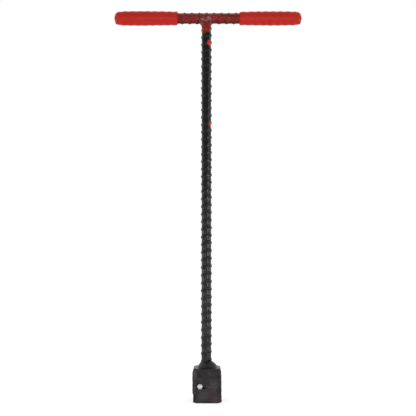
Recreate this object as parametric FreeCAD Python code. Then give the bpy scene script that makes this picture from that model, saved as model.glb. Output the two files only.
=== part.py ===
import FreeCAD, Part
import math
import os

from FreeCAD import Vector

# Post driver: a ribbed steel bar with a welded cross bar and two pushed-on grips at the top,
# and a welded plate socket at the bottom that drops over the top of a post.
#
# Frame, in millimetres: the shaft's axis is X = 0, Y = 0 and the open mouth of the socket is
# Z = 0. X runs along the cross bar, -Y is the front of the socket, where the nut is.

# ---- driving dimensions ------------------------------------------------------------------

# Ribbed bar stock, the same for the shaft and the cross bar.
CORE_RADIUS = 9.2             # plain core of the bar
RIB_PITCH = 15.0              # from one transverse rib to the next
RIB_WIDTH = 2.6               # along the bar
RIB_HEIGHT = 1.5              # above the core
RIB_SLANT = 12.4              # degrees from square to the bar
SPINE_WIDTH = 3.4             # the two lengthwise ribs
SPINE_HEIGHT = 1.6

# Shaft.
SHAFT_LENGTH = 686.0
SHAFT_RIGHT_RIB = 26.5        # a rib of the right row, below the top end
SHAFT_LEFT_RIB = 30.0         # a rib of the left row

# Cross bar.
CROSS_LENGTH = 375.0
CROSS_OFFSET = 3.2            # the shaft is welded this far left of its middle
SEAT_FLAT = 0.8               # ground off the lower lengthwise rib where the shaft meets it
CROSS_FRONT_RIB = -1.8        # a front rib's middle, from the shaft's axis
CROSS_BACK_RIB = 5.7          # a back rib's middle

# Grips: soft sleeves with one closed end, cut to length by hand.
LEFT_GRIP_LENGTH = 128.3
RIGHT_GRIP_LENGTH = 126.2
GRIP_WALL = 3.5               # at the middle of the grip
GRIP_SWELL = 0.8              # the middle stands this much proud of the two ends
GRIP_CLEARANCE = 0.05         # between the bore and the tops of the ribs
GRIP_END = 2.9                # thickness of the closed end
GRIP_END_ROUND = 5.0

# Socket: a thick thrust plate welded into the top of four walls.
HEAD_WIDTH = 53.0
HEAD_DEPTH = 53.0
HEAD_HEIGHT = 63.5
HEAD_SHIFT_X = 1.4            # the socket's middle from the shaft's axis
HEAD_SHIFT_Y = 1.0
THRUST_THICKNESS = 12.7
WALL_THICKNESS = 6.4
CORNER_NOTCH = 4.0            # the front and back plates stop this far short of the sides
LOWER_PLATE_TOP = 27.0        # top edge of the lower front plate
PLATE_GAP = 1.6               # root gap between the two front plates
LOWER_PLATE_SETBACK = 0.8     # the lower front plate sits back this far
EDGE_ROUND = 1.2              # on the top outer edges of the walls
GROOVE = 3.0                  # bevel round the top of the thrust plate, filled by its weld

# Welds.
TEE_WELD_DROP = 11.0          # down the shaft from the underside of the cross bar
TEE_WELD_REACH = 19.0         # along the cross bar, each way
TEE_WELD_THICKNESS = 2.6      # beyond the tops of the ribs, beside the cross bar
TEE_WELD_TOE = 0.4            # beyond the tops of the ribs, at its lower end
TEE_WELD_CLIMB = 2.0          # above the cross bar's axis, at the front and back
TEE_WELD_LEG = 0.8            # half depth of its two legs, as a share of the core's radius
SHAFT_WELD_HEIGHT = 12.0
SHAFT_WELD_REACH = 20.0       # radius on the thrust plate
SHAFT_WELD_SHIFT = 2.0        # the bead is fuller on the right
SHAFT_WELD_TOE = 0.6          # beyond the core, at its upper end
CORNER_WELD_BULGE = 1.2       # beyond the side walls
CORNER_WELD_TOP = 1.5         # below the top of the socket
CORNER_WELD_ROUND = 0.8       # radius of its outer edge, as a share of the notch
LEFT_WELD_BOTTOM = 16.0       # the left front bead stops short of the mouth
RIGHT_WELD_BOTTOM = 1.5
BACK_WELD_BOTTOM = 8.0
SEAM_WELD_LENGTH = 23.0
SEAM_WELD_HEIGHT = 8.5
SEAM_WELD_BULGE = 1.8
SEAM_WELD_START = -1.5        # left end, from the shaft's axis
SEAM_WELD_RISE = 1.6          # its middle above the middle of the gap

# Cross bolt and nut.
BOLT_DIAMETER = 5.0
BOLT_CLEARANCE = 0.2          # on the radius, in the plates
BOLT_X = -12.0
BOLT_Z = 31.5
BOLT_HEAD_FLATS = 8.5
BOLT_HEAD_HEIGHT = 3.5
BOLT_STICK_OUT = 1.4          # beyond the nut
BOLT_POINT_CHAMFER = 0.8
NUT_FLATS = 8.5
NUT_HEIGHT = 4.0
NUT_TURN = 5.0                # degrees, as it was left after tightening

# Not sizes of the object.
OVERRUN = 1.0                 # a hole's cutter passes this far beyond the plates
NEAR = 0.01                   # an edge this near a face lies on it

# ---- places worked out from them ----------------------------------------------------------

CREST_RADIUS = CORE_RADIUS + max(RIB_HEIGHT, SPINE_HEIGHT)
SHAFT_TOP = HEAD_HEIGHT + SHAFT_LENGTH
CROSS_Z = SHAFT_TOP + CORE_RADIUS + SPINE_HEIGHT - SEAT_FLAT
CROSS_LEFT = CROSS_OFFSET - CROSS_LENGTH / 2
CROSS_RIGHT = CROSS_OFFSET + CROSS_LENGTH / 2

HEAD_LEFT = HEAD_SHIFT_X - HEAD_WIDTH / 2
HEAD_RIGHT = HEAD_SHIFT_X + HEAD_WIDTH / 2
HEAD_FRONT = HEAD_SHIFT_Y - HEAD_DEPTH / 2
HEAD_BACK = HEAD_SHIFT_Y + HEAD_DEPTH / 2
THRUST_UNDERSIDE = HEAD_HEIGHT - THRUST_THICKNESS

GRIP_BORE = CREST_RADIUS + GRIP_CLEARANCE
GRIP_MIDDLE = GRIP_BORE + GRIP_WALL
GRIP_SHOULDER = GRIP_MIDDLE - GRIP_SWELL

X_AXIS = Vector(1, 0, 0)
Y_AXIS = Vector(0, 1, 0)
Z_AXIS = Vector(0, 0, 1)


# ---- helpers --------------------------------------------------------------------------------

def box(x0, x1, y0, y1, z0, z1):
    """A block between two corners."""
    return Part.makeBox(x1 - x0, y1 - y0, z1 - z0, Vector(x0, y0, z0))


def hexagon(flats, height, turn):
    """A hexagonal prism on Z = 0, with its corners turned by an angle."""
    corner = flats / 2 / math.cos(math.radians(30))
    angles = [math.radians(turn + 60 * side) for side in range(7)]
    outline = [Vector(corner * math.cos(a), corner * math.sin(a), 0) for a in angles]
    return Part.Face(Part.makePolygon(outline)).extrude(Vector(0, 0, height))


def rib(side, height):
    """One rib at Z = height round the +X (side = 1) or -X (side = -1) half of a bar.

    It is half a disc through the core, tipped so that its -Y end is the higher one on the
    left half and the lower one on the right half.
    """
    start = Vector(0, 0, -RIB_WIDTH / 2)
    disc = Part.makeCylinder(CORE_RADIUS + RIB_HEIGHT, RIB_WIDTH, start, Z_AXIS, 180)
    disc.rotate(Vector(0, 0, 0), Z_AXIS, -90 * side)
    disc.rotate(Vector(0, 0, 0), X_AXIS, side * RIB_SLANT)
    disc.translate(Vector(0, 0, height))
    return disc


def ribbed_bar(length, right_ribs, left_ribs):
    """A ribbed bar along Z from Z = 0, with its lengthwise ribs at the front and back."""
    core = Part.makeCylinder(CORE_RADIUS, length)
    reach = CORE_RADIUS + SPINE_HEIGHT
    spines = box(-SPINE_WIDTH / 2, SPINE_WIDTH / 2, -reach, reach, 0, length)
    spines = spines.common(Part.makeCylinder(reach, length))
    ribs = [rib(1, z) for z in right_ribs] + [rib(-1, z) for z in left_ribs]
    return core.multiFuse([spines] + ribs)


def rib_row(first, low, high):
    """Places of the row of ribs that passes through one place, each whole between two limits."""
    margin = RIB_WIDTH / 2 + CREST_RADIUS * math.tan(math.radians(RIB_SLANT))
    start = first + math.ceil((low + margin - first) / RIB_PITCH) * RIB_PITCH
    count = math.floor((high - margin - start) / RIB_PITCH) + 1
    return [start + RIB_PITCH * step for step in range(count)]


def save(name, shape):
    shape.exportStep("parts/" + name + ".step")


# ---- bars and grips ---------------------------------------------------------------------------

def make_shaft_bar():
    """The shaft's ribs are ground off where it is welded."""
    low = SHAFT_WELD_HEIGHT
    high = SHAFT_LENGTH - TEE_WELD_DROP
    right = rib_row(SHAFT_LENGTH - SHAFT_RIGHT_RIB, low, high)
    left = rib_row(SHAFT_LENGTH - SHAFT_LEFT_RIB, low, high)
    bar = ribbed_bar(SHAFT_LENGTH, right, left)
    bar.translate(Vector(0, 0, HEAD_HEIGHT))
    return bar


def make_cross_bar():
    """The cross bar is turned so that its lengthwise ribs are above and below.

    Its ribs are ground off at the joint, and the lower one is ground flat for the shaft's end.
    """
    joint = -CROSS_LEFT
    rows = []
    for place in (CROSS_BACK_RIB, CROSS_FRONT_RIB):
        row = rib_row(joint + place, 0, joint - TEE_WELD_REACH)
        row += rib_row(joint + place, joint + TEE_WELD_REACH, CROSS_LENGTH)
        rows.append(row)
    bar = ribbed_bar(CROSS_LENGTH, rows[0], rows[1])
    bar.rotate(Vector(0, 0, 0), Z_AXIS, 90)
    bar.rotate(Vector(0, 0, 0), Y_AXIS, 90)
    bar.translate(Vector(CROSS_LEFT, 0, CROSS_Z))
    seat = box(-CREST_RADIUS, CREST_RADIUS, -SPINE_WIDTH, SPINE_WIDTH,
               SHAFT_TOP - SEAT_FLAT, SHAFT_TOP)
    return bar.cut(seat)


def make_grip(side, length):
    """A slightly swollen sleeve with a blind bore, turned round its closed end's middle."""
    turn = GRIP_END_ROUND * (1 - math.sqrt(0.5))
    flat = Vector(GRIP_SHOULDER - GRIP_END_ROUND, 0, 0)
    bend = Vector(GRIP_SHOULDER - turn, 0, turn)
    shoulder = Vector(GRIP_SHOULDER, 0, GRIP_END_ROUND)
    middle = Vector(GRIP_MIDDLE, 0, (GRIP_END_ROUND + length) / 2)
    rim = Vector(GRIP_SHOULDER, 0, length)
    inside = [rim, Vector(GRIP_BORE, 0, length), Vector(GRIP_BORE, 0, GRIP_END),
              Vector(0, 0, GRIP_END), Vector(0, 0, 0), flat]
    edges = [Part.Arc(flat, bend, shoulder).toShape(), Part.Arc(shoulder, middle, rim).toShape()]
    edges += [Part.LineSegment(a, b).toShape() for a, b in zip(inside, inside[1:])]
    sleeve = Part.Face(Part.Wire(edges)).revolve(Vector(0, 0, 0), Z_AXIS, 360)
    sleeve.rotate(Vector(0, 0, 0), Y_AXIS, -90 * side)
    end = CROSS_RIGHT if side > 0 else CROSS_LEFT
    sleeve.translate(Vector(end + side * GRIP_END, 0, CROSS_Z))
    return sleeve


# ---- socket -------------------------------------------------------------------------------------

def bolt_hole():
    radius = BOLT_DIAMETER / 2 + BOLT_CLEARANCE
    start = Vector(BOLT_X, HEAD_FRONT - OVERRUN, BOLT_Z)
    return Part.makeCylinder(radius, HEAD_DEPTH + 2 * OVERRUN, start, Y_AXIS)


def socket_hollow(low, high):
    """The space between the four walls, from one height to another."""
    return box(HEAD_LEFT + WALL_THICKNESS, HEAD_RIGHT - WALL_THICKNESS,
               HEAD_FRONT + WALL_THICKNESS, HEAD_BACK - WALL_THICKNESS, low, high)


def make_thrust_plate():
    plate = socket_hollow(THRUST_UNDERSIDE, HEAD_HEIGHT)
    rim = [edge for edge in plate.Edges if edge.BoundBox.ZMin > HEAD_HEIGHT - NEAR]
    return plate.makeChamfer(GROOVE, rim)


def round_top(plate, y):
    """Rounds the top edge of a plate that lies along a given Y."""
    top = []
    for edge in plate.Edges:
        middle = edge.CenterOfMass
        if middle.z > HEAD_HEIGHT - NEAR and abs(middle.y - y) < NEAR:
            top.append(edge)
    return plate.makeFillet(EDGE_ROUND, top)


def cross_plate(y0, y1, low, high):
    """A plate between the corner beads, with a hole for the bolt."""
    plate = box(HEAD_LEFT + CORNER_NOTCH, HEAD_RIGHT - CORNER_NOTCH, y0, y1, low, high)
    return plate.cut(bolt_hole())


def make_upper_front_plate():
    plate = cross_plate(HEAD_FRONT, HEAD_FRONT + WALL_THICKNESS,
                        LOWER_PLATE_TOP + PLATE_GAP, HEAD_HEIGHT)
    return round_top(plate, HEAD_FRONT)


def make_lower_front_plate():
    return cross_plate(HEAD_FRONT + LOWER_PLATE_SETBACK, HEAD_FRONT + WALL_THICKNESS,
                       0, LOWER_PLATE_TOP)


def make_back_plate():
    plate = cross_plate(HEAD_BACK - WALL_THICKNESS, HEAD_BACK, 0, HEAD_HEIGHT)
    return round_top(plate, HEAD_BACK)


def make_side_wall(side):
    outer = HEAD_RIGHT if side > 0 else HEAD_LEFT
    inner = outer - side * WALL_THICKNESS
    wall = box(min(outer, inner), max(outer, inner),
               HEAD_FRONT + WALL_THICKNESS, HEAD_BACK - WALL_THICKNESS, 0, HEAD_HEIGHT)
    top = []
    for edge in wall.Edges:
        middle = edge.CenterOfMass
        if middle.z > HEAD_HEIGHT - NEAR and abs(middle.x - outer) < NEAR:
            top.append(edge)
    return wall.makeFillet(EDGE_ROUND, top)


# ---- welds --------------------------------------------------------------------------------------

def corner_weld(side, face, bottom):
    """A bead in the notch between a side wall's end and the front or back plate.

    side is -1 for the left and 1 for the right, face -1 for the front and 1 for the back.
    """
    outer = (HEAD_RIGHT if side > 0 else HEAD_LEFT) + side * CORNER_WELD_BULGE
    inner = outer - side * (CORNER_NOTCH + CORNER_WELD_BULGE)
    flush = HEAD_FRONT if face < 0 else HEAD_BACK
    root = flush - face * WALL_THICKNESS
    bead = box(min(outer, inner), max(outer, inner), min(flush, root), max(flush, root),
               bottom, HEAD_HEIGHT - CORNER_WELD_TOP)
    edges = []
    for edge in bead.Edges:
        middle = edge.CenterOfMass
        if edge.BoundBox.ZLength > NEAR and abs(middle.x - outer) < NEAR:
            if abs(middle.y - flush) < NEAR:
                edges.append(edge)
    return bead.makeFillet(CORNER_WELD_ROUND * CORNER_NOTCH, edges)


def make_thrust_plate_weld(plate):
    """Weld metal that fills the bevel round the thrust plate, flush with the walls."""
    return socket_hollow(HEAD_HEIGHT - GROOVE, HEAD_HEIGHT).cut(plate)


def make_front_seam_weld():
    """A short bead that bridges the two front plates to the right of the nut."""
    half = SEAM_WELD_HEIGHT / 2
    middle = LOWER_PLATE_TOP + PLATE_GAP / 2 + SEAM_WELD_RISE
    sag = SEAM_WELD_BULGE
    radius = (half * half + sag * sag) / (2 * sag)
    bead = Part.makeCylinder(radius, SEAM_WELD_LENGTH,
                             Vector(SEAM_WELD_START, HEAD_FRONT + radius - sag, middle), X_AXIS)
    keep = box(SEAM_WELD_START, SEAM_WELD_START + SEAM_WELD_LENGTH,
               HEAD_FRONT - sag, HEAD_FRONT + LOWER_PLATE_SETBACK, middle - half, middle + half)
    bead = bead.common(keep)
    return bead.cut(make_upper_front_plate()).cut(make_lower_front_plate())


def make_shaft_weld(shaft):
    """A conical fillet all round the foot of the shaft, fuller on the right."""
    foot = SHAFT_WELD_REACH - SHAFT_WELD_SHIFT
    toe = CORE_RADIUS + SHAFT_WELD_TOE
    cone = Part.makeCone(foot, toe, SHAFT_WELD_HEIGHT, Vector(SHAFT_WELD_SHIFT, 0, HEAD_HEIGHT))
    collar = Part.makeCone(foot, toe, SHAFT_WELD_HEIGHT, Vector(0, 0, HEAD_HEIGHT))
    return cone.fuse(collar).cut(shaft)


def make_tee_weld(shaft, cross):
    """A fillet round the top of the shaft that climbs the front and back of the cross bar."""
    low = SHAFT_TOP - TEE_WELD_DROP
    top = CROSS_Z + TEE_WELD_CLIMB
    outer = CREST_RADIUS + TEE_WELD_THICKNESS
    skirt = Part.makeCone(CREST_RADIUS + TEE_WELD_TOE, outer, TEE_WELD_DROP, Vector(0, 0, low))
    drum = Part.makeCylinder(outer, top - SHAFT_TOP, Vector(0, 0, SHAFT_TOP))
    half = TEE_WELD_REACH
    outline = [
        Vector(-half, 0, SHAFT_TOP),
        Vector(-CORE_RADIUS, 0, low),
        Vector(CORE_RADIUS, 0, low),
        Vector(half, 0, SHAFT_TOP),
        Vector(half, 0, CROSS_Z),
        Vector(-half, 0, CROSS_Z),
        Vector(-half, 0, SHAFT_TOP),
    ]
    deep = CORE_RADIUS * TEE_WELD_LEG
    gusset = Part.Face(Part.makePolygon(outline)).extrude(Vector(0, 2 * deep, 0))
    gusset.translate(Vector(0, -deep, 0))
    return skirt.multiFuse([drum, gusset]).cut(shaft).cut(cross)


# ---- fasteners ----------------------------------------------------------------------------------

def make_cross_bolt():
    """The bolt runs through the front and back plates, with its head at the back."""
    front_end = HEAD_FRONT - NUT_HEIGHT - BOLT_STICK_OUT
    shank = Part.makeCylinder(BOLT_DIAMETER / 2, HEAD_BACK - front_end)
    tip = [e for e in shank.Edges if e.BoundBox.ZMax < NEAR and e.BoundBox.XLength > NEAR]
    shank = shank.makeChamfer(BOLT_POINT_CHAMFER, tip)
    head = hexagon(BOLT_HEAD_FLATS, BOLT_HEAD_HEIGHT, 0)
    head.translate(Vector(0, 0, HEAD_BACK - front_end))
    bolt = shank.fuse(head)
    bolt.rotate(Vector(0, 0, 0), X_AXIS, -90)
    bolt.translate(Vector(BOLT_X, front_end, BOLT_Z))
    return bolt


def make_bolt_nut():
    nut = hexagon(NUT_FLATS, NUT_HEIGHT, NUT_TURN)
    nut = nut.cut(Part.makeCylinder(BOLT_DIAMETER / 2, NUT_HEIGHT))
    nut.rotate(Vector(0, 0, 0), X_AXIS, -90)
    nut.translate(Vector(BOLT_X, HEAD_FRONT - NUT_HEIGHT, BOLT_Z))
    return nut


# ---- build --------------------------------------------------------------------------------------

os.makedirs("parts", exist_ok=True)

shaft_bar = make_shaft_bar()
cross_bar = make_cross_bar()
thrust_plate = make_thrust_plate()

save("shaft_bar", shaft_bar)
save("cross_bar", cross_bar)
save("left_grip", make_grip(-1, LEFT_GRIP_LENGTH))
save("right_grip", make_grip(1, RIGHT_GRIP_LENGTH))
save("tee_weld", make_tee_weld(shaft_bar, cross_bar))
save("shaft_weld", make_shaft_weld(shaft_bar))
save("head_thrust_plate", thrust_plate)
save("thrust_plate_weld", make_thrust_plate_weld(thrust_plate))
save("head_upper_front_plate", make_upper_front_plate())
save("head_lower_front_plate", make_lower_front_plate())
save("head_back_plate", make_back_plate())
save("head_left_wall", make_side_wall(-1))
save("head_right_wall", make_side_wall(1))
save("front_left_corner_weld", corner_weld(-1, -1, LEFT_WELD_BOTTOM))
save("front_right_corner_weld", corner_weld(1, -1, RIGHT_WELD_BOTTOM))
save("back_left_corner_weld", corner_weld(-1, 1, BACK_WELD_BOTTOM))
save("back_right_corner_weld", corner_weld(1, 1, BACK_WELD_BOTTOM))
save("front_seam_weld", make_front_seam_weld())
save("cross_bolt", make_cross_bolt())
save("bolt_nut", make_bolt_nut())
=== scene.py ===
"""Looks of the post driver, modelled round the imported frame. Lengths are in millimetres."""

import math

import bmesh
import bpy
import numpy as np
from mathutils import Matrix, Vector, noise


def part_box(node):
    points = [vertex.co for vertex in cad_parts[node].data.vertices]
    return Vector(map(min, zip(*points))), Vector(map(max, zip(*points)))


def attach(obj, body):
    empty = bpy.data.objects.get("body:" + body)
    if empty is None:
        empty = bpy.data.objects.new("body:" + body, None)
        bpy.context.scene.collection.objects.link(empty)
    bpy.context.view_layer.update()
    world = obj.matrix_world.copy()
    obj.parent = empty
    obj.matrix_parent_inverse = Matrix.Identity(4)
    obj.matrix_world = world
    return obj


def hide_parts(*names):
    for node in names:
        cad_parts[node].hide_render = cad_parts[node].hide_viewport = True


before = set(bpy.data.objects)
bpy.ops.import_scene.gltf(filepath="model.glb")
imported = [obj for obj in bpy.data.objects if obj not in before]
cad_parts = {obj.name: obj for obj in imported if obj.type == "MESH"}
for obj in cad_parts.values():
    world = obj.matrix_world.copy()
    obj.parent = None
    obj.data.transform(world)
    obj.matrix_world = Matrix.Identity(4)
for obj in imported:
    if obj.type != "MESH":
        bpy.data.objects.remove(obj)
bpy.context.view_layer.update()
scene = bpy.context.scene

MM = 0.001
BODY = "root"

# ---- sizes shared by several pieces -----------------------------------------------------------

CORE = 9.2                    # radius of the bar stock
RIB_HEIGHT = 1.55
RIB_SPREAD = 2.2              # half width of a rib along the bar
RIB_PITCH = 15.0
SPINE_HEIGHT = 1.6            # lengthwise ribs
SPINE_SPREAD = 2.1
CROSSING = 0.9                # share of the lower rib that adds to the higher where they cross

SHAFT_TILT = 1.28             # how far a shaft rib climbs from the flank to the lengthwise rib
SHAFT_RIGHT_PHASE = 738.0     # height of a rib on the right, and on the left
SHAFT_LEFT_PHASE = 734.6
SHAFT_TURN = 3.0              # degrees that the front lengthwise rib faces right of the front
SHAFT_TWIST = 29.0            # more degrees at the top, where the bar is twisted
SHAFT_TWIST_FROM = 320.0

CROSS_TILT = 2.35
CROSS_PHASE = -1.8
CROSS_SPINE_HEIGHT = 1.5
COAT = 0.25                   # paint and mill scale over the bars

RIGHT_TAPER = 0.6             # the socket's walls lean in this much at its top
LEFT_TAPER = 0.4

STEP = 0.8                    # between rings, along the bars and grips
AROUND = 80                   # points in a ring of a bar or grip


def box_mm(node):
    """Lowest and highest corner of a CAD node, in millimetres."""
    low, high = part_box(node)
    return np.array(low) / MM, np.array(high) / MM


shaft_low, shaft_high = box_mm("shaft_bar")
cross_low, cross_high = box_mm("cross_bar")
left_grip_low, left_grip_high = box_mm("left_grip")
right_grip_low, right_grip_high = box_mm("right_grip")
plate_low, plate_high = box_mm("head_upper_front_plate")
nut_low, nut_high = box_mm("bolt_nut")

SHAFT_TOP = shaft_high[2]
CROSS_Z = (left_grip_low[2] + left_grip_high[2]) / 2
GRIP_LIMIT = (left_grip_high[2] - left_grip_low[2]) / 2     # a grip's largest radius
HEAD_TOP = plate_high[2]
HEAD_FRONT = plate_low[1]
HEAD_BACK = box_mm("head_back_plate")[1][1]
HEAD_LEFT = box_mm("head_left_wall")[0][0]
HEAD_RIGHT = box_mm("head_right_wall")[1][0]
HEAD_MIDDLE = (HEAD_LEFT + HEAD_RIGHT) / 2
HEAD_HALF = (HEAD_RIGHT - HEAD_LEFT) / 2
NUT_X = (nut_low[0] + nut_high[0]) / 2
NUT_Z = (nut_low[2] + nut_high[2]) / 2


# ---- mesh helpers -----------------------------------------------------------------------------

def roughness(points, scale, depth, seed):
    """Smooth noise at each point, from -depth to depth, with features of about one scale."""
    shift = Vector((seed * 13.7, seed * 5.1, seed * 9.3))
    flat = points.reshape(-1, 3)
    values = [noise.noise(Vector(p) / scale + shift) for p in flat]
    return depth * np.array(values).reshape(points.shape[:-1])


def add_piece(name, points, faces, material, nodes):
    """A smooth mesh that rides on the body and stands for CAD nodes, its faces turned outward."""
    mesh = bpy.data.meshes.new(name)
    mesh.from_pydata((np.asarray(points) * MM).tolist(), [], faces)
    mesh.validate()
    turned = bmesh.new()
    turned.from_mesh(mesh)
    bmesh.ops.recalc_face_normals(turned, faces=turned.faces)
    turned.to_mesh(mesh)
    turned.free()
    mesh.update()
    for polygon in mesh.polygons:
        polygon.use_smooth = True
    mesh.materials.append(material)
    piece = bpy.data.objects.new(name, mesh)
    scene.collection.objects.link(piece)
    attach(piece, BODY)
    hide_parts(*nodes)
    return piece


def lathe_faces(rings, around, closed_loop):
    """Quads between rings of points; the ends are capped unless the rings form a loop."""
    faces = []
    spans = rings if closed_loop else rings - 1
    for i in range(spans):
        a, b = i * around, ((i + 1) % rings) * around
        for j in range(around):
            k = (j + 1) % around
            faces.append((a + j, a + k, b + k, b + j))
    if not closed_loop:
        faces.append(tuple(reversed(range(around))))
        faces.append(tuple(range((rings - 1) * around, rings * around)))
    return faces


def rings_piece(name, rings, material, nodes, closed_loop=False):
    """A piece from an array of rings, indexed by ring, then by place round the ring."""
    count, around = rings.shape[:2]
    faces = lathe_faces(count, around, closed_loop)
    return add_piece(name, rings.reshape(-1, 3), faces, material, nodes)


def full_turn(count):
    """Angles evenly round a circle."""
    return np.linspace(0, 2 * math.pi, count, endpoint=False)


def stations(low, high):
    """Places from end to end of a bar, one step apart."""
    places = np.arange(low, high + STEP / 2, STEP)
    places[-1] = high
    return places


def smoothstep(x):
    """0 to 1 with a gentle start and end."""
    x = np.clip(x, 0, 1)
    return x * x * (3 - 2 * x)


def tapered(points):
    """Leans the socket's walls in towards its top."""
    side = (points[..., 0] - HEAD_MIDDLE) / HEAD_HALF
    lean = np.where(side > 0, RIGHT_TAPER, LEFT_TAPER) * points[..., 2] / HEAD_TOP
    moved = points.copy()
    moved[..., 0] -= side * lean
    return moved


# ---- materials --------------------------------------------------------------------------------

class Nodes:
    """A short way to build a node tree."""

    def __init__(self, tree):
        self.tree = tree

    def node(self, kind, **settings):
        made = self.tree.nodes.new(kind)
        for key, value in settings.items():
            setattr(made, key, value)
        return made

    def link(self, a, b):
        self.tree.links.new(a, b)

    def put(self, value, socket):
        """Sets a socket to a constant, or links it."""
        if isinstance(value, bpy.types.NodeSocket):
            self.link(value, socket)
        elif isinstance(value, tuple) and len(value) == 3 and socket.type == "RGBA":
            socket.default_value = (*value, 1)
        else:
            socket.default_value = value

    def math(self, operation, a, b=0.0, clamp=False):
        made = self.node("ShaderNodeMath", operation=operation, use_clamp=clamp)
        self.put(a, made.inputs[0])
        self.put(b, made.inputs[1])
        return made.outputs[0]

    def add(self, a, b):
        return self.math("ADD", a, b)

    def subtract(self, a, b):
        return self.math("SUBTRACT", a, b)

    def times(self, a, b):
        return self.math("MULTIPLY", a, b)

    def either(self, a, b):
        return self.math("MAXIMUM", a, b)


class Material(Nodes):
    """A material with one Principled shader, textured by the object's own coordinates."""

    def __init__(self, name):
        self.material = bpy.data.materials.new(name)
        self.material.use_nodes = True
        super().__init__(self.material.node_tree)
        self.shader = self.tree.nodes["Principled BSDF"]
        self.place = self.node("ShaderNodeTexCoord").outputs["Object"]

    def noise(self, size, detail=3.0, rough=0.55, stretch=(1, 1, 1), offset=(0, 0, 0)):
        """Noise from 0 to 1 with features of a size in millimetres."""
        mapping = self.node("ShaderNodeMapping")
        self.link(self.place, mapping.inputs["Vector"])
        mapping.inputs["Scale"].default_value = stretch
        mapping.inputs["Location"].default_value = offset
        made = self.node("ShaderNodeTexNoise")
        self.link(mapping.outputs[0], made.inputs["Vector"])
        made.inputs["Scale"].default_value = 1 / (size * MM)
        made.inputs["Detail"].default_value = detail
        made.inputs["Roughness"].default_value = rough
        return made.outputs["Fac"]

    def ramp(self, value, low, high):
        """0 below low, 1 above high."""
        made = self.node("ShaderNodeMapRange", interpolation_type="SMOOTHSTEP")
        self.put(value, made.inputs["Value"])
        made.inputs["From Min"].default_value = low
        made.inputs["From Max"].default_value = high
        return made.outputs["Result"]

    def mix(self, factor, a, b):
        made = self.node("ShaderNodeMix", data_type="RGBA")
        self.put(factor, made.inputs["Factor"])
        self.put(a, made.inputs["A"])
        self.put(b, made.inputs["B"])
        return made.outputs["Result"]

    def axis(self, letter):
        """The object's own X, Y or Z in millimetres."""
        made = self.node("ShaderNodeSeparateXYZ")
        self.link(self.place, made.inputs[0])
        return self.times(made.outputs[letter], 1 / MM)

    def spot(self, centre, radii, edge, wobble):
        """1 inside a wobbly ellipsoid round a point, 0 outside, with a soft edge."""
        total = None
        for letter, middle, radius in zip("XYZ", centre, radii):
            away = self.math("DIVIDE", self.subtract(self.axis(letter), middle), radius)
            square = self.times(away, away)
            total = square if total is None else self.add(total, square)
        shaken = self.add(total, wobble)
        return self.math("SUBTRACT", 1.0, self.ramp(shaken, 1.0 - edge, 1.0 + edge), clamp=True)

    def wobble(self, texture, amount):
        """A texture moved to lie round 0, to shake the edge of a spot."""
        return self.times(self.subtract(texture, 0.5), amount)

    def bump(self, height, distance):
        """A normal for bumps of a height from 0 to 1 that stand a distance in millimetres."""
        made = self.node("ShaderNodeBump")
        self.link(height, made.inputs["Height"])
        made.inputs["Distance"].default_value = distance * MM
        return made.outputs["Normal"]

    def set(self, **sockets):
        """Sets or links sockets of the shader, named with _ for each space."""
        for key, value in sockets.items():
            self.put(value, self.shader.inputs[key.replace("_", " ")])


GLOSS = 0.2                         # specular level of paint and vinyl
BLACK = (0.0050, 0.0042, 0.0048)
BLACK_LIGHT = (0.0125, 0.0105, 0.0120)
# pale colour: random patches at a small share; at a larger share painted light from the floor on
# the shaft and socket, and painted highlights on the beads
DUST_AND_SHEEN = (0.056, 0.047, 0.055)
BARE = (0.060, 0.046, 0.044)
RED_PAINT = (0.42, 0.020, 0.014)
RED_DARK = (0.19, 0.014, 0.012)
BROWN = (0.065, 0.010, 0.008)
MISSED = (0.030, 0.032, 0.035)      # where the red missed the black
UNDERCOAT_AND_SHADE = (0.022, 0.008, 0.007)   # above and below the cross bar: black where little red reached, and painted shade on its upper and lower sides
# painted highlight colour for the glints on the front of the tee weld
GLINT = (0.50, 0.27, 0.26)


PAINT_SPOT = (0.56, 0.028, 0.020)
VINYL = (0.46, 0.012, 0.006)
VINYL_LIGHT = (0.52, 0.015, 0.009)
# painted highlight colour for the lighter streaks along the grips
VINYL_SHEEN = (0.52, 0.05, 0.038)
ZINC_BRIGHT = (0.88, 0.84, 0.82)
ZINC_STAIN = (0.48, 0.46, 0.48)

RED_ENDS = (727.6, 729.0)           # height at which the red on the shaft fades out and in
RED_SLANT = -0.35                   # how far that edge slants across the shaft
SOCKET_LIGHT_ENDS = (30.0, 54.0)            # painted light from the floor on the socket, from full to none
SHAFT_LIGHT_ENDS = (120.0, 460.0)    # painted light from the floor on the shaft, from full to none
UNDERCOAT_AND_SHADE_STARTS = (7.0, 10.5)      # from the cross bar's middle height, from none to full


def black_coat(paint, seed, dust_and_sheen_share):
    """Colour, roughness and height of the black paint, before any red on top of it.

    The last argument is how much of the pale colour shows, from 0 to 1, as a number or a socket:
    a little in random patches, more where it is painted light.
    """
    shift = (seed * 0.11, seed * 0.07, seed * 0.05)
    broad = paint.noise(22, detail=2, rough=0.5, offset=shift)
    patches = paint.noise(5, detail=4, rough=0.6, offset=shift)
    grain = paint.noise(0.9, detail=3, rough=0.6, offset=shift)
    chips = paint.ramp(paint.noise(2.6, detail=5, rough=0.7, offset=shift), 0.66, 0.72)
    colour = paint.mix(paint.ramp(patches, 0.35, 0.7), BLACK, BLACK_LIGHT)
    # the pale colour in random patches, and as painted light where a piece's share is larger
    colour = paint.mix(paint.times(paint.ramp(broad, 0.25, 0.75), dust_and_sheen_share), colour, DUST_AND_SHEEN)
    colour = paint.mix(paint.times(chips, 0.5), colour, BARE)
    rough = paint.add(0.16, paint.times(patches, 0.28))
    rough = paint.add(rough, paint.times(chips, 0.2))
    height = paint.add(paint.times(patches, 0.7), paint.times(grain, 0.25))
    height = paint.subtract(height, paint.times(chips, 0.25))
    return colour, rough, height


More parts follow.
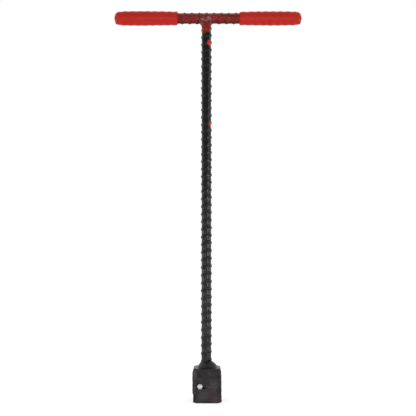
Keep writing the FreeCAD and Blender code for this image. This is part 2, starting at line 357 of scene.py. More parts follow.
def black_paint(name, seed, red_marks=None, painted_light=None):
    """Glossy black paint over mill scale, with the red marks and the painted light that one piece
    carries.
    """
    paint = Material(name)
    colour, rough, height = black_coat(paint, seed, painted_light(paint) if painted_light else 0.2)
    if red_marks:
        mask, red = red_marks(paint)
        colour = paint.mix(mask, colour, red)
    paint.set(Base_Color=colour, Roughness=rough, Normal=paint.bump(height, 0.35),
              Specular_IOR_Level=GLOSS)
    return paint.material


def red_coat(paint):
    """Patchy red overspray: solid red, thin dark red and the brown-black below it."""
    fine = paint.noise(1.4, detail=4, rough=0.7)
    patches = paint.noise(3.4, detail=4, rough=0.65)
    thin = paint.mix(paint.ramp(fine, 0.35, 0.65), BROWN, RED_DARK)
    return paint.mix(paint.times(paint.ramp(patches, 0.44, 0.62), 0.8), thin, RED_PAINT)


def shaft_marks(paint):
    """Red down the top of the shaft to a slanting edge, and two red spots, the upper in two."""
    fine = paint.noise(3, detail=3, rough=0.6)
    edge = paint.add(paint.axis("Z"), paint.times(paint.axis("X"), RED_SLANT))
    top = paint.ramp(paint.add(edge, paint.times(fine, 3.0)), *RED_ENDS)
    wobble = paint.wobble(fine, 0.8)
    upper = paint.spot((4.4, -8.0, 707.4), (2.4, 9.0, 4.0), 0.12, wobble)
    lobe = paint.spot((5.9, -8.0, 704.0), (4.6, 9.0, 3.8), 0.12, wobble)
    lower = paint.spot((9.4, -3.0, 539.0), (4.0, 8.0, 6.5), 0.15, wobble)
    spots = paint.either(paint.either(upper, lobe), lower)
    return paint.either(top, spots), paint.mix(spots, red_coat(paint), PAINT_SPOT)


def head_marks(paint):
    """A faint red tint low on the right of the socket."""
    wobble = paint.wobble(paint.noise(3, detail=4, rough=0.7), 2.0)
    low = paint.spot((18, HEAD_FRONT, 12), (16, 12, 16), 0.5, wobble)
    return paint.times(low, 0.06), RED_DARK


def socket_floor_light(paint):
    """Painted light from the floor: the socket paler from its middle down, fading out towards its
    upper edge.
    """
    return paint.subtract(1.0, paint.ramp(paint.axis("Z"), *SOCKET_LIGHT_ENDS))


def bead_highlights(paint):
    """Painted highlights all over the beads, with paler patches of painted glint."""
    bead_glint = paint.ramp(paint.noise(3.0, detail=3, rough=0.6), 0.4, 0.65)
    return paint.add(0.7, paint.times(bead_glint, 1.1))


def lower_shaft_floor_light(paint):
    """A thin painted light from the floor that grows down the lower half of the shaft."""
    fall = paint.subtract(1.0, paint.ramp(paint.axis("Z"), *SHAFT_LIGHT_ENDS))
    return paint.times(fall, 0.35)


def oversprayed(name, glints=None):
    """The cross bar between the grips, and the weld on it: red sprayed thinly over brown, darker
    at the top and bottom of the bar, partly painted shade.
    """
    paint = Material(name)
    grain = paint.times(paint.noise(0.9, detail=3, rough=0.6), 0.3)
    height = paint.add(paint.noise(5, detail=4, rough=0.6), grain)
    wobble = paint.wobble(paint.noise(3), 1.4)
    missed = paint.either(paint.spot((43.4, -8, 762.5), (4.2, 8, 3.0), 0.3, wobble),
                          paint.spot((-11.5, -11, 756.5), (4.4, 7, 3.2), 0.3, wobble))
    colour = paint.mix(paint.times(missed, 0.85), red_coat(paint), MISSED)
    # Darker towards the top and bottom of the bar: black the spray missed, and painted shade.
    off = paint.math("ABSOLUTE", paint.subtract(paint.axis("Z"), CROSS_Z))
    undercoat_and_shade = paint.ramp(paint.add(off, paint.times(wobble, 1.5)), *UNDERCOAT_AND_SHADE_STARTS)
    undercoat_and_shade = paint.times(undercoat_and_shade, paint.ramp(paint.axis("Z"), SHAFT_TOP - 2, SHAFT_TOP + 2))
    colour = paint.mix(paint.times(undercoat_and_shade, 0.8), colour, UNDERCOAT_AND_SHADE)
    if glints:
        colour = paint.mix(glints(paint), colour, GLINT)
    rough = paint.add(0.26, paint.times(paint.noise(4), 0.25))
    paint.set(Base_Color=colour, Roughness=rough, Normal=paint.bump(height, 0.4),
              Specular_IOR_Level=GLOSS)
    return paint.material


def tee_glints(paint):
    """Painted highlights: small pinkish-white glints on the front of the weld."""
    area = paint.spot((1.5, -13, 756.0), (14, 9, 6), 0.5, 0.0)
    specks = paint.ramp(paint.noise(2.2, detail=3, rough=0.6), 0.50, 0.58)
    return paint.times(paint.times(area, specks), 0.75)


def vinyl(name, seed):
    """Soft red vinyl with a faint orange-peel skin and painted highlights: lighter streaks along
    the grip.
    """
    skin = Material(name)
    shift = (seed * 0.2, 0, 0)
    broad = skin.noise(26, detail=2, rough=0.5, offset=shift)
    streaks = skin.noise(3.2, detail=5, rough=0.75, stretch=(1, 2.5, 2.5), offset=shift)
    sheen_streaks = skin.ramp(streaks, 0.60, 0.78)
    colour = skin.mix(broad, VINYL, VINYL_LIGHT)
    # lighter streaks along the grip: painted highlights
    colour = skin.mix(skin.times(sheen_streaks, 0.35), colour, VINYL_SHEEN)
    peel = skin.add(skin.noise(1.3, detail=2, rough=0.5), skin.times(sheen_streaks, 0.3))
    rough = skin.add(0.40, skin.times(sheen_streaks, 0.25))
    skin.set(Base_Color=colour, Roughness=rough, Normal=skin.bump(peel, 0.12),
             Specular_IOR_Level=GLOSS)
    return skin.material


def zinc(name):
    """Bright zinc plate, with a few grey stains."""
    plate = Material(name)
    stains = plate.noise(2.2, detail=4, rough=0.6)
    colour = plate.mix(plate.ramp(stains, 0.45, 0.7), ZINC_BRIGHT, ZINC_STAIN)
    rough = plate.add(0.28, plate.times(stains, 0.25))
    plate.set(Base_Color=colour, Metallic=0.75, Roughness=rough,
              Normal=plate.bump(plate.noise(0.8), 0.05))
    return plate.material


# the shaft and socket paints carry painted light from the floor low down, the bead paint painted
# highlights
SHAFT_PAINT = black_paint("shaft_paint", 1, shaft_marks, lower_shaft_floor_light)
HEAD_PAINT = black_paint("head_paint", 2, head_marks, socket_floor_light)
WELD_PAINT = black_paint("weld_paint", 3, head_marks)
BEAD_PAINT = black_paint("bead_paint", 5, head_marks, bead_highlights)
INSIDE_PAINT = black_paint("inside_paint", 4)
CROSS_PAINT = oversprayed("cross_paint")
TEE_PAINT = oversprayed("tee_weld_paint", tee_glints)
LEFT_VINYL = vinyl("left_vinyl", 1)
RIGHT_VINYL = vinyl("right_vinyl", 2)
ZINC = zinc("zinc_plate")


# ---- ribbed bars ------------------------------------------------------------------------------

COARSE = 6.0                  # size of the dents in the mill scale
FINE = 2.2                    # size of its pimples
RIDGE_POWER = 2.2             # 2 is a bell, more is a flatter top with steeper sides
TWIST_POWER = 1.5             # how late the twist comes on


def rib_profile(distance, spread):
    """A rounded ridge: 1 on its line, falling to 0 on each side."""
    return np.exp(-np.abs(distance / spread) ** RIDGE_POWER)


def bar_radius(along, turn, right_phase, left_phase, tilt, spine_height):
    """Radius of the bar. turn is in radians from the front lengthwise rib, right positive."""
    turn = (turn + math.pi) % (2 * math.pi) - math.pi
    phase = np.where(turn > 0, right_phase, left_phase)
    line = along - phase - tilt * np.cos(turn)
    away = (line / RIB_PITCH + 0.5) % 1.0 - 0.5
    ribs = RIB_HEIGHT * rib_profile(away * RIB_PITCH, RIB_SPREAD)
    to_spine = np.minimum(np.abs(turn), math.pi - np.abs(turn)) * CORE
    spine = spine_height * rib_profile(to_spine, SPINE_SPREAD)
    return CORE + COAT + np.maximum(ribs, spine) + CROSSING * np.minimum(ribs, spine)


def make_shaft():
    """The shaft, slightly twisted along its length."""
    zz, aa = np.meshgrid(stations(shaft_low[2], SHAFT_TOP), full_turn(AROUND), indexing="ij")
    share = np.clip((zz - SHAFT_TWIST_FROM) / (SHAFT_TOP - SHAFT_TWIST_FROM), 0, 1)
    spine = np.radians(SHAFT_TURN + SHAFT_TWIST * share ** TWIST_POWER)
    radius = bar_radius(zz, aa - spine, SHAFT_RIGHT_PHASE, SHAFT_LEFT_PHASE, SHAFT_TILT,
                        SPINE_HEIGHT)
    ring = np.stack([np.sin(aa) * CORE, -np.cos(aa) * CORE, zz], axis=-1)
    radius = (radius + roughness(ring, COARSE, 0.22, seed=1)
              + roughness(ring, FINE, 0.10, seed=2))
    rings = np.stack([np.sin(aa) * radius, -np.cos(aa) * radius, zz], axis=-1)
    return rings_piece("shaft", rings, SHAFT_PAINT, ["shaft_bar"])


def cross_radius(x, turn):
    """Radius of the cross bar. turn is from its upper lengthwise rib, front positive."""
    return bar_radius(x, turn, CROSS_PHASE, CROSS_PHASE, CROSS_TILT, CROSS_SPINE_HEIGHT)


def on_cross(x, turn, radius):
    """Points round the cross bar's axis."""
    return np.stack([x, -np.sin(turn) * radius, CROSS_Z + np.cos(turn) * radius], axis=-1)


def make_cross_bar():
    """The cross bar from end to end, through both grips."""
    x = stations(cross_low[0], cross_high[0])
    xx, aa = np.meshgrid(x, full_turn(AROUND), indexing="ij")
    base = on_cross(xx, aa, CORE)
    rough = roughness(base, COARSE, 0.20, seed=3) + roughness(base, FINE, 0.12, seed=4)
    rings = on_cross(xx, aa, cross_radius(xx, aa) + rough)
    return rings_piece("cross_bar_detail", rings, CROSS_PAINT,
                       ["cross_bar"])


# ---- grips ------------------------------------------------------------------------------------

LEFT_GRIP_RADII = (13.9, 14.2, 13.2)    # at the closed end, the middle and the open end
RIGHT_GRIP_RADII = (13.4, 13.9, 13.0)
GRIP_SHOW_THROUGH = 0.36      # height of the ribs as they show through the sleeve
GRIP_FRONT_SHARE = 0.3        # share of it that is left at the front and back
GRIP_DOME = 6.2               # length of the closed end's dome
GRIP_DOME_RADIUS = 12.2
GRIP_NOSE = 1.5               # flat middle of the closed end
GRIP_SETTLE = 6.5             # how quickly it reaches its full thickness after the dome
GRIP_LIP = 1.0                # rounding of the cut end
GRIP_HOLD = 0.3               # gap between the bore and the tops of the ribs
GRIP_MOUTH = 4.0              # depth of the bore that the sleeve shows
GRIP_FADE = 14.0              # the ribs show from here inward
GRIP_DOME_POWER = 1.4         # 2 is a round dome, less is a flatter cone
GRIP_STREAK = 0.12            # width of a streak in the skin, as a share of its length


def grip_body(along, length, near, middle, far):
    """Radius along a grip: a dome, a settling shoulder and a slight barrel."""
    t = along / length
    barrel = near * (1 - t) * (1 - 2 * t) + 4 * middle * t * (1 - t) + far * t * (2 * t - 1)
    past = np.maximum(0, along - GRIP_DOME)
    body = barrel - (barrel - GRIP_DOME_RADIUS) * np.exp(-past / GRIP_SETTLE)
    rise = np.clip(along / GRIP_DOME, 0, 1)
    dome = (1 - (1 - rise) ** GRIP_DOME_POWER) ** (1 / GRIP_DOME_POWER)
    body = np.where(along < GRIP_DOME, GRIP_NOSE + (GRIP_DOME_RADIUS - GRIP_NOSE) * dome, body)
    mouth = np.clip((along - (length - GRIP_LIP)) / GRIP_LIP, 0, 1)
    return body - GRIP_LIP * (1 - np.sqrt(1 - mouth ** 2))


def make_grip(name, node, outer, inner, radii, material, seed):
    """A sleeve from its closed end to its open end.

    radii are its radius at the closed end, the middle and the open end.
    """
    length = abs(inner - outer)
    side = 1 if inner > outer else -1
    along = np.concatenate([
        GRIP_DOME * (1 - np.cos(np.linspace(0, math.pi / 2, 18))),
        np.arange(GRIP_DOME + STEP, length - GRIP_LIP, STEP),
        length - GRIP_LIP * np.cos(np.linspace(0, math.pi / 2, 6)),
    ])
    body = grip_body(along, length, *radii)
    angle = full_turn(AROUND)
    xx, aa = np.meshgrid(outer + side * along, angle, indexing="ij")
    shift = CROSS_PHASE + CROSS_TILT * np.cos(aa)
    wave = np.cos(2 * math.pi * (xx - shift) / RIB_PITCH)
    share = GRIP_FRONT_SHARE + (1 - GRIP_FRONT_SHARE) * np.cos(aa) ** 2
    fade = smoothstep(along / GRIP_FADE)[:, None]
    base = on_cross(xx, aa, CORE)
    streaks = base * np.array([GRIP_STREAK, 1, 1])
    outside = body[:, None] + GRIP_SHOW_THROUGH * wave * share * fade
    outside = outside + roughness(base, 30.0, 0.22, seed) * fade
    outside = outside + roughness(streaks, 5.0, 0.16, seed + 1) * fade
    rings = on_cross(xx, aa, np.minimum(outside, GRIP_LIMIT))
    bore = CORE + SPINE_HEIGHT + GRIP_HOLD
    xi, ai = np.meshgrid(outer + side * np.array([length, length - GRIP_MOUTH]), angle,
                         indexing="ij")
    rings = np.concatenate([rings, on_cross(xi, ai, bore)])
    return rings_piece(name, rings, material, [node])


# ---- welds ------------------------------------------------------------------------------------

WELD_AROUND = 96              # points round the shaft
WELD_ACROSS = 22              # points from toe to crown
TOE_OVER = 0.1                # the toe of a fillet lies this far over the bar's core

TEE_LEFT_LEG = 12.5           # down the shaft from the underside of the cross bar
TEE_RIGHT_LEG = 9.0
TEE_FRONT_LEG = 5.0
TEE_LEFT_REACH = 20.5         # along the cross bar from the shaft's axis
TEE_RIGHT_REACH = 17.5
TEE_CLIMB = 112               # degrees up the front and back of the cross bar

CONE_RISE = 12.0              # of the weld at the foot of the shaft
CONE_FOOT = 19.3
CONE_BEND = 0.76              # how far out, and how far up, its flank is drawn towards
CONE_BEND_RISE = 0.52

BEAD_STEP = 0.6               # between rings, along the corner beads
BEAD_AROUND = 32
BEAD_BOTTOM = 2.0             # a bead fades in over this height, and out over BEAD_TOP
BEAD_TOP = 16.0
BEAD_FACE = 0.45              # it stands this much proud of the front or back
RIPPLE_PITCH = 4.2
RIPPLE_DEPTH = 0.7
RIPPLE_CURVE = 1.2            # how far a ripple's middle runs ahead of its ends

SEAM_STEP = 0.5
SEAM_AROUND = 30
SEAM_DEPTH = 2.3
SEAM_FRONT = 0.9              # its middle lies this far behind the front of the socket
SEAM_FADE = 4.0               # length of its rounded ends
SEAM_SLOPE = 0.05             # it falls this much to the right
SEAM_RIPPLE = 3.4             # pitch
SEAM_RIPPLE_DEPTH = 0.22


def bezier(a, b, c, t):
    """Points on a curve from a to c that bends towards b."""
    t = t[None, :, None]
    a, b, c = a[:, None, :], b[:, None, :], c[:, None, :]
    return (1 - t) ** 2 * a + 2 * t * (1 - t) * b + t ** 2 * c


def fillet_ring(name, toe, corner, crown, root, lumps, ripple, material, node, seed):
    """A closed ring of weld metal between two surfaces.

    toe and crown are where it meets each surface, corner the point it bends towards, and
    root lies inside the steel, each an array of one point for each place round the ring.
    """
    t = np.linspace(0, 1, WELD_ACROSS)
    skin = bezier(toe, corner, crown, t)
    outward = corner - root
    outward = outward / np.linalg.norm(outward, axis=-1, keepdims=True)
    around = np.arange(len(toe))[:, None]
    belly = np.sin(math.pi * t)[None, :]
    bead = ripple * np.cos(2 * math.pi * (around / 5.0 + 1.6 * (t[None, :] - 0.5) ** 2)) * belly
    skin = skin + (bead + roughness(skin, 4.5, lumps, seed) * belly)[..., None] * outward[:, None]
    rings = np.concatenate([skin, root[:, None, :]], axis=1)
    return rings_piece(name, rings, material, [node], closed_loop=True)


def make_tee_weld():
    """The fillet round the top of the shaft, climbing the front and back of the cross bar."""
    angle = full_turn(WELD_AROUND)
    sine, cosine = np.sin(angle), np.cos(angle)
    left = cosine < 0
    side_on = np.abs(cosine)
    inside = CORE - 0.6
    under = CROSS_Z - CORE
    leg = np.where(left, TEE_LEFT_LEG, TEE_RIGHT_LEG)
    drop = TEE_FRONT_LEG + (leg - TEE_FRONT_LEG) * side_on ** 1.5
    neck = CORE + TOE_OVER
    toe = np.stack([cosine * neck, sine * neck, under - drop], axis=-1)
    climb = np.radians(-90 + TEE_CLIMB * np.abs(sine) ** 0.8)
    reach = np.where(left, TEE_LEFT_REACH, TEE_RIGHT_REACH)
    ring = CORE + COAT
    crown = np.stack([cosine * reach, np.sign(sine) * ring * np.cos(climb),
                      CROSS_Z + ring * np.sin(climb)], axis=-1)
    corner = np.stack([cosine * (CORE + 1.0), sine * (CORE + 3.4), under + 1.5 + 0 * angle],
                      axis=-1)
    root = np.stack([cosine * inside, sine * (inside - 1.0), under + 3.0 + 0 * angle], axis=-1)
    return fillet_ring("tee_weld_bead", toe, corner, crown, root, 0.55, 0.22, TEE_PAINT,
                       "tee_weld", seed=11)


def make_shaft_weld():
    """The cone of weld metal at the foot of the shaft, fuller on the right."""
    angle = full_turn(WELD_AROUND)
    sine, cosine = np.sin(angle), np.cos(angle)
    rise = CONE_RISE + cosine
    neck = CORE + TOE_OVER
    toe = np.stack([cosine * neck, sine * neck, HEAD_TOP + rise], axis=-1)
    foot = CONE_FOOT + 2.2 * cosine + 3.4 * np.maximum(0, -sine) ** 3
    crown = np.stack([cosine * foot, sine * foot, HEAD_TOP + 0.05 + 0 * angle], axis=-1)
    bend = CORE + CONE_BEND * (foot - CORE)
    corner = np.stack([cosine * bend, sine * bend, HEAD_TOP + CONE_BEND_RISE * rise], axis=-1)
    inside = CORE - 1
    root = np.stack([cosine * inside, sine * inside, HEAD_TOP - 0.6 + 0 * angle], axis=-1)
    return fillet_ring("shaft_weld_bead", toe, corner, crown, root, 0.5, 0.25, WELD_PAINT,
                       "shaft_weld", seed=21)


def upright_bead(name, node, left, front, spread, bulge_low, bulge_high, seed):
    """A bead in a corner notch, with a ripple where each pass of the welder stopped.

    spread is how far it laps over the plate beside the notch, and the bulges are how far it
    stands out of the wall at its two ends.
    """
    low, high = box_mm(node)
    heights = np.arange(low[2], high[2] + BEAD_STEP / 2, BEAD_STEP)
    hh, tt = np.meshgrid(heights, full_turn(BEAD_AROUND), indexing="ij")
    toward = np.array([-1 if left else 1, -1 if front else 1])
    outer = np.array([HEAD_LEFT if left else HEAD_RIGHT, HEAD_FRONT if front else HEAD_BACK])
    inner = np.array([high[0] + spread if left else low[0] - spread,
                      high[1] if front else low[1]])
    centre = (outer + inner) / 2
    half = np.abs(outer - inner) / 2
    cx = np.sign(np.cos(tt)) * np.sqrt(np.abs(np.cos(tt)))
    cy = np.sign(np.sin(tt)) * np.sqrt(np.abs(np.sin(tt)))
    points = np.stack([centre[0] + cx * half[0], centre[1] + cy * half[1], hh], axis=-1)
    share = (hh - low[2]) / (high[2] - low[2])
    ends = np.clip(np.minimum((hh - low[2]) / BEAD_BOTTOM, (high[2] - hh) / BEAD_TOP), 0, 1)
    full = np.sqrt(1 - (1 - ends) ** 2)
    wave = np.abs(np.sin(math.pi * (hh + RIPPLE_CURVE * cx) / RIPPLE_PITCH))
    ripple = RIPPLE_DEPTH * (wave - 0.6)
    swell = roughness(points, 5.0, 0.6, seed) + ripple
    grow = (bulge_low + (bulge_high - bulge_low) * share + swell) * full
    points[..., 0] += toward[0] * grow * np.clip(cx * toward[0], 0, 1)
    points[..., 1] += toward[1] * (BEAD_FACE + swell) * full * np.clip(cy * toward[1], 0, 1)
    return rings_piece(name, tapered(points), BEAD_PAINT, [node])


def make_corner_welds():
    """Four beads: corner, left, front, spread, bulge at the bottom and the top, and seed."""
    beads = (
        ("front_left", True, True, 3.6, 1.3, 2.0, 31),
        ("front_right", False, True, 1.0, 1.0, 1.5, 37),
        ("back_left", True, False, 2.5, 0.8, 0.8, 41),
        ("back_right", False, False, 2.0, 0.8, 0.5, 47),
    )
    for corner, left, front, spread, bulge_low, bulge_high, seed in beads:
        upright_bead(corner + "_bead", corner + "_corner_weld", left, front, spread,
                     bulge_low, bulge_high, seed)


def make_seam_weld():
    """The rough bead that bridges the two front plates."""
    low, high = box_mm("front_seam_weld")
    x = np.arange(low[0] - SEAM_STEP, high[0] + 2 * SEAM_STEP, SEAM_STEP)
    xx, tt = np.meshgrid(x, full_turn(SEAM_AROUND), indexing="ij")
    middle = (low[2] + high[2]) / 2 - SEAM_SLOPE * (xx - x.mean())
    ends = np.clip(np.minimum(xx - x[0], x[-1] - xx) / SEAM_FADE, 0, 1)
    size = np.sqrt(np.maximum(0.02, 1 - (1 - ends) ** 2))
    half = (high[2] - low[2]) / 2 * size
    z = middle + np.cos(tt) * half
    y = HEAD_FRONT + SEAM_FRONT - np.maximum(np.sin(tt), -0.35) * SEAM_DEPTH * size
    points = np.stack([xx, y, z], axis=-1)
    ahead = RIPPLE_CURVE * np.cos(tt) ** 2
    wave = SEAM_RIPPLE_DEPTH * np.abs(np.sin(math.pi * (xx + ahead) / SEAM_RIPPLE)) - 0.1
    lump = roughness(points, 3.5, 0.5, seed=51) + wave
    points[..., 1] -= lump * np.clip(np.sin(tt), 0, 1) * size
    return rings_piece("front_seam_bead", tapered(points), BEAD_PAINT,
                       ["front_seam_weld"])


# ---- socket plates ----------------------------------------------------------------------------

PLATE_STEP = 1.3              # between points on a plate
TINY = 1e-9                   # keeps a division from being by 0


def plate_points(low, high, step, round_off):
    """A closed grid on a box's six sides, with its edges rounded off."""
    counts = [max(2, int(round((high[i] - low[i]) / step))) for i in range(3)]
    index, points = {}, []

    def corner(key):
        if key not in index:
            index[key] = len(points)
            points.append([low[i] + (high[i] - low[i]) * key[i] / counts[i] for i in range(3)])
        return index[key]

    faces = []
    for axis in range(3):
        u, v = (axis + 1) % 3, (axis + 2) % 3
        for end in (0, counts[axis]):
            for i in range(counts[u]):
                for j in range(counts[v]):
                    quad = []
                    for a, b in ((i, j), (i + 1, j), (i + 1, j + 1), (i, j + 1)):
                        key = [0, 0, 0]
                        key[axis], key[u], key[v] = end, a, b
                        quad.append(corner(tuple(key)))
                    faces.append(quad)
    points = np.array(points)
    inner = np.clip(points, low + round_off, high - round_off)
    away = points - inner
    size = np.linalg.norm(away, axis=1, keepdims=True)
    return inner + away / np.maximum(size, TINY) * round_off, faces


def make_plate(name, node, round_off, dents, seed):
    """A flame-cut plate: rounded edges, shallow dents and slightly wavy faces."""
    low, high = box_mm(node)
    points, faces = plate_points(low, high, PLATE_STEP, round_off)
    middle = (low + high) / 2
    outward = np.sign(points - middle)
    thin = int(np.argmin(high - low))
    shift = roughness(points, 14.0, dents, seed) + roughness(points, 3.0, dents * 0.3, seed + 1)
    shift = np.minimum(shift, 0)
    points[:, thin] += shift * outward[:, thin]
    return add_piece(name, tapered(points), faces, HEAD_PAINT, [node])


def make_plates():
    """The socket's plates. The thrust plate and its weld keep their CAD mesh."""
    make_plate("upper_front_plate", "head_upper_front_plate", 1.0, 0.30, 61)
    make_plate("lower_front_plate", "head_lower_front_plate", 0.4, 0.22, 63)
    make_plate("back_plate", "head_back_plate", 1.0, 0.30, 65)
    make_plate("left_wall", "head_left_wall", 0.8, 0.25, 67)
    make_plate("right_wall", "head_right_wall", 0.8, 0.25, 69)
    for node, material in (("head_thrust_plate", INSIDE_PAINT),
                           ("thrust_plate_weld", WELD_PAINT)):
        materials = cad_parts[node].data.materials
        materials.clear()
        materials.append(material)


# ---- nut and bolt -----------------------------------------------------------------------------

NUT_TURN = math.radians(5.0)
NUT_AROUND = 72
NUT_EDGE = 0.05               # keeps the two chamfers of a corner apart
NUT_SINK = 0.5                # countersink round the thread
BOLT_AROUND = 48
BOLT_RADIUS = 2.5
BOLT_POINT = 0.8              # chamfer of its end
THREAD_PITCH = 0.9
THREAD_RINGS = 8              # in one turn of the thread
THREAD_DEPTH = 0.3
HEX_CHAMFER = 0.96            # the chamfer starts at this share of the half width
HEX_SLOPE = 0.58


def hex_rings(flats, turn, around):
    """Distance to a hexagon's side, to its chamfer, and the chamfer's depth, all round it."""
    angle = full_turn(around)
    local = (angle - turn) % (math.pi / 3) - math.pi / 6
    side = flats / 2 / np.cos(local)
    trimmed = np.minimum(side, flats / 2 * HEX_CHAMFER)
    cut = np.maximum(0, side - flats / 2 * HEX_CHAMFER) * HEX_SLOPE
    return angle, side, trimmed, cut


def ring_at(angle, radius, y):
    """A ring round the bolt's axis."""
    return np.stack([NUT_X + radius * np.cos(angle), y + 0 * angle,
                     NUT_Z + radius * np.sin(angle)], axis=-1)


def make_nut():
    """A hexagon nut with chamfered corners and a countersunk bore, seated on the plate."""
    flats = (nut_high[2] - nut_low[2]) / 2 / math.sin(math.pi / 3 + NUT_TURN) * math.sqrt(3)
    angle, side, trimmed, cut = hex_rings(flats, NUT_TURN, NUT_AROUND)
    seat, out = nut_high[1], nut_low[1]
    rings = np.stack([
        ring_at(angle, BOLT_RADIUS, seat),
        ring_at(angle, trimmed, seat),
        ring_at(angle, side, seat - cut),
        ring_at(angle, side, out + cut + NUT_EDGE),
        ring_at(angle, trimmed, out),
        ring_at(angle, BOLT_RADIUS + NUT_SINK, out),
        ring_at(angle, BOLT_RADIUS, out + NUT_SINK),
    ])
    rings_piece("nut", rings, ZINC, ["bolt_nut"], closed_loop=True)


def make_bolt():
    """A threaded shank with its hexagon head at the back."""
    low, high = box_mm("cross_bolt")
    angle, side, trimmed, cut = hex_rings(high[2] - low[2], 0.0, BOLT_AROUND)
    shank = []
    for level in np.arange(low[1], HEAD_BACK, THREAD_PITCH / THREAD_RINGS):
        turn = (level / THREAD_PITCH + angle / (2 * math.pi)) % 1.0
        thread = THREAD_DEPTH * np.abs(turn - 0.5) * 2
        taper = max(0.0, 1 - (level - low[1]) / BOLT_POINT) * BOLT_POINT
        shank.append(ring_at(angle, BOLT_RADIUS - thread - taper, level))
    head = [ring_at(angle, side, HEAD_BACK), ring_at(angle, side, high[1] - cut),
            ring_at(angle, trimmed, high[1])]
    rings = np.stack(shank + head)
    rings_piece("bolt", rings, ZINC, ["cross_bolt"])


# ---- build ------------------------------------------------------------------------------------

make_shaft()
make_cross_bar()
make_grip("left_grip_sleeve", "left_grip", left_grip_low[0], left_grip_high[0],
          LEFT_GRIP_RADII, LEFT_VINYL, seed=71)
make_grip("right_grip_sleeve", "right_grip", right_grip_high[0], right_grip_low[0],
          RIGHT_GRIP_RADII, RIGHT_VINYL, seed=75)
make_tee_weld()
make_shaft_weld()
make_corner_welds()
make_seam_weld()
make_plates()
make_nut()
make_bolt()


# ---- stage, lights and camera -----------------------------------------------------------------

WHITE = (1, 1, 1)
WORLD_FILL = 0.72             # strength of the light from all round
STUDIO_SIDE = 0.45            # how bright reflections find the room behind the camera
STUDIO_ENDS = (-0.25, 0.15)   # from that room to the backdrop, by direction front to back

FLOOR_HALF = 4.0              # metres
FLOOR_DROP = 0.0002           # metres below the object
FLOOR_MATTE = (0.8, 0.8, 0.8)
FLOOR_GLOSS = 0.15            # how brightly the floor glows in reflections
FLOOR_GLOW = 0.5              # the same for the camera, to bring it up to white

SIDE_LAMP_AT = (1.5, -0.15, 0.25)       # metres, and its mirror image
SIDE_LAMP_AIM = (0, 0, 0.3)
SIDE_LAMP_SIZE = (0.35, 0.7)
SIDE_LAMP_POWER = 10
FRONT_LAMP_AT = (0.1, -2.2, 0.05)
FRONT_LAMP_AIM = (0, 0, 0.4)
FRONT_LAMP_SIZE = (0.12, 0.6)
FRONT_LAMP_POWER = 11

CAMERA_AT = Vector((3.2, -1273.8, 246.4)) * MM
CAMERA_TILT = 95.63           # degrees from straight down
LENS = 56.05
SENSOR = 36.0


def seen_directly(nodes):
    """1 for camera, glossy and transmission rays."""
    path = nodes.node("ShaderNodeLightPath")
    seen = nodes.either(path.outputs["Is Camera Ray"], path.outputs["Is Glossy Ray"])
    return nodes.either(seen, path.outputs["Is Transmission Ray"])


def backdrop_strength(nodes):
    """White to the camera on all sides, but darker to reflections on the side of the lamps."""
    coords = nodes.node("ShaderNodeTexCoord")
    split = nodes.node("ShaderNodeSeparateXYZ")
    nodes.link(coords.outputs["Generated"], split.inputs[0])
    side = nodes.node("ShaderNodeMapRange", interpolation_type="SMOOTHSTEP")
    side.inputs["From Min"].default_value = STUDIO_ENDS[0]
    side.inputs["From Max"].default_value = STUDIO_ENDS[1]
    side.inputs["To Min"].default_value = STUDIO_SIDE
    nodes.link(split.outputs["Y"], side.inputs["Value"])
    path = nodes.node("ShaderNodeLightPath")
    return nodes.either(path.outputs["Is Camera Ray"], side.outputs["Result"])


def make_world():
    """An even pale fill, and a white backdrop for the rays that see it directly."""
    world = bpy.data.worlds.new("studio")
    scene.world = world
    world.use_nodes = True
    nodes = Nodes(world.node_tree)
    nodes.tree.nodes.clear()
    mix = nodes.node("ShaderNodeMixShader")
    nodes.put(seen_directly(nodes), mix.inputs["Fac"])
    for strength, socket in ((WORLD_FILL, 1), (backdrop_strength(nodes), 2)):
        light = nodes.node("ShaderNodeBackground")
        nodes.put(WHITE, light.inputs["Color"])
        nodes.put(strength, light.inputs["Strength"])
        nodes.link(light.outputs[0], mix.inputs[socket])
    out = nodes.node("ShaderNodeOutputWorld")
    nodes.link(mix.outputs[0], out.inputs["Surface"])


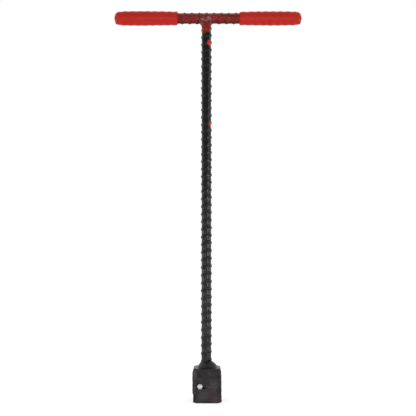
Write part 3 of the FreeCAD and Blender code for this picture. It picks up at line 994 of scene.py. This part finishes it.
def make_floor():
    """A matte floor that keeps the object's shadow, lifted to white by its own glow."""
    half = FLOOR_HALF
    mesh = bpy.data.meshes.new("floor")
    mesh.from_pydata([(-half, -half, 0), (half, -half, 0), (half, half, 0), (-half, half, 0)],
                     [], [(0, 1, 2, 3)])
    floor = bpy.data.objects.new("floor", mesh)
    scene.collection.objects.link(floor)
    floor.location.z = -FLOOR_DROP
    material = bpy.data.materials.new("floor")
    material.use_nodes = True
    nodes = Nodes(material.node_tree)
    nodes.tree.nodes.clear()
    matte = nodes.node("ShaderNodeBsdfDiffuse")
    nodes.put(FLOOR_MATTE, matte.inputs["Color"])
    path = nodes.node("ShaderNodeLightPath")
    lift = nodes.times(path.outputs["Is Camera Ray"], FLOOR_GLOW - FLOOR_GLOSS)
    shine = nodes.times(seen_directly(nodes), FLOOR_GLOSS)
    glow = nodes.node("ShaderNodeEmission")
    nodes.put(WHITE, glow.inputs["Color"])
    nodes.put(nodes.add(shine, lift), glow.inputs["Strength"])
    both = nodes.node("ShaderNodeAddShader")
    nodes.link(matte.outputs[0], both.inputs[0])
    nodes.link(glow.outputs[0], both.inputs[1])
    out = nodes.node("ShaderNodeOutputMaterial")
    nodes.link(both.outputs[0], out.inputs["Surface"])
    mesh.materials.append(material)


def add_light(name, at, aim, size, power):
    """A rectangular soft box at one point that faces another, in metres."""
    data = bpy.data.lights.new(name, "AREA")
    data.shape = "RECTANGLE"
    data.size, data.size_y = size
    data.energy = power
    light = bpy.data.objects.new(name, data)
    light.location = at
    light.rotation_euler = (Vector(aim) - Vector(at)).to_track_quat("-Z", "Y").to_euler()
    scene.collection.objects.link(light)


def make_lights():
    """A strip at each side, for the long edges, and one in front."""
    x, y, z = SIDE_LAMP_AT
    add_light("left_strip", (-x, y, z), SIDE_LAMP_AIM, SIDE_LAMP_SIZE, SIDE_LAMP_POWER)
    add_light("right_strip", (x, y, z), SIDE_LAMP_AIM, SIDE_LAMP_SIZE, SIDE_LAMP_POWER)
    add_light("front", FRONT_LAMP_AT, FRONT_LAMP_AIM, FRONT_LAMP_SIZE, FRONT_LAMP_POWER)


def make_camera():
    """A camera in front of the object, tilted up a little."""
    data = bpy.data.cameras.new("camera")
    data.lens = LENS
    data.sensor_width = SENSOR
    data.dof.use_dof = False
    camera = bpy.data.objects.new("camera", data)
    camera.location = CAMERA_AT
    camera.rotation_euler = (math.radians(CAMERA_TILT), 0, 0)
    scene.collection.objects.link(camera)
    scene.camera = camera


make_world()
make_floor()
make_lights()
make_camera()
scene.view_settings.view_transform = "Standard"
